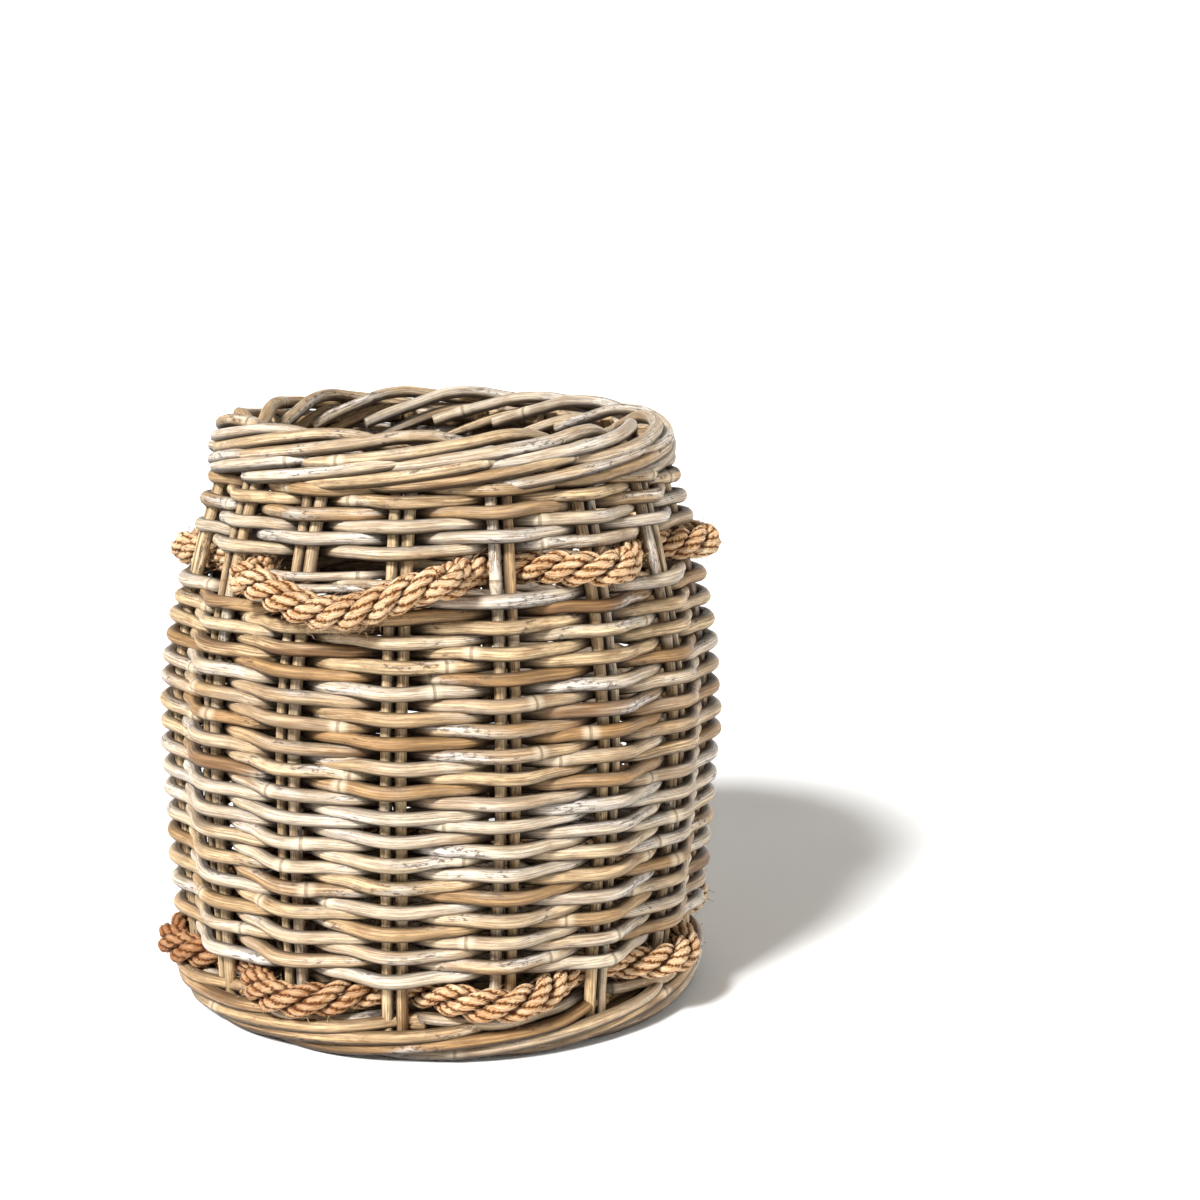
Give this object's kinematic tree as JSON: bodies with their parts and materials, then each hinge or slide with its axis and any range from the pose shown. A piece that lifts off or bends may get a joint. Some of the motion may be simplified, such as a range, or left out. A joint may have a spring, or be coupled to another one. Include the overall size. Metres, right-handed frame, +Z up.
{
  "type": "laundry basket woven",
  "caption": "Barrel-shaped open laundry basket woven from round rattan cane, with twisted rope laced through the wall and two hanging rope handles.",
  "frame": {"origin": "on the floor, at the middle of the basket", "axes": "+Z up along the basket's axis, the two handles on -Y (front) and +Y (back)"},
  "size_m": [0.4573, 0.4714, 0.462],
  "materials": {
    "weaver_cane": "grey-washed round rattan cane, matt",
    "stake_cane": "grey-washed round rattan cane, matt",
    "rope": "three-strand twisted natural fibre rope"
  },
  "bodies": {
    "root": {"stake_pair_01": "stake_cane", "stake_pair_02": "stake_cane", "stake_pair_03": "stake_cane", "stake_pair_04": "stake_cane", "stake_pair_05": "stake_cane", "stake_pair_06": "stake_cane", "stake_pair_07": "stake_cane", "stake_pair_08": "stake_cane", "stake_pair_09": "stake_cane", "stake_pair_10": "stake_cane", "stake_pair_11": "stake_cane", "stake_pair_12": "stake_cane", "stake_pair_13": "stake_cane", "stake_pair_14": "stake_cane", "stake_pair_15": "stake_cane", "stake_pair_16": "stake_cane", "foot_border": "weaver_cane", "siding_lower": "weaver_cane", "siding_belly": "weaver_cane", "siding_upper": "weaver_cane", "shoulder_rows": "weaver_cane", "rim_border": "weaver_cane", "base_stick_lower_1": "stake_cane", "base_stick_lower_2": "stake_cane", "base_stick_lower_3": "stake_cane", "base_stick_upper_1": "stake_cane", "base_stick_upper_2": "stake_cane", "base_stick_upper_3": "stake_cane", "base_weave": "weaver_cane", "lower_rope": "rope", "upper_rope_right": "rope", "upper_rope_left": "rope"},
    "handle_front": {"handle_front": "rope"},
    "handle_back": {"handle_back": "rope"}
  },
  "joints": [
    {"name": "handle_front_swing", "type": "hinge", "parent": "root", "child": "handle_front", "pos_m": [0, -0.2033, 0.3632], "axis": [-1, 0, 0], "range_deg": [0, 105]},
    {"name": "handle_back_swing", "type": "hinge", "parent": "root", "child": "handle_back", "pos_m": [0, 0.2033, 0.3632], "axis": [1, 0, 0], "range_deg": [0, 105]}
  ]
}
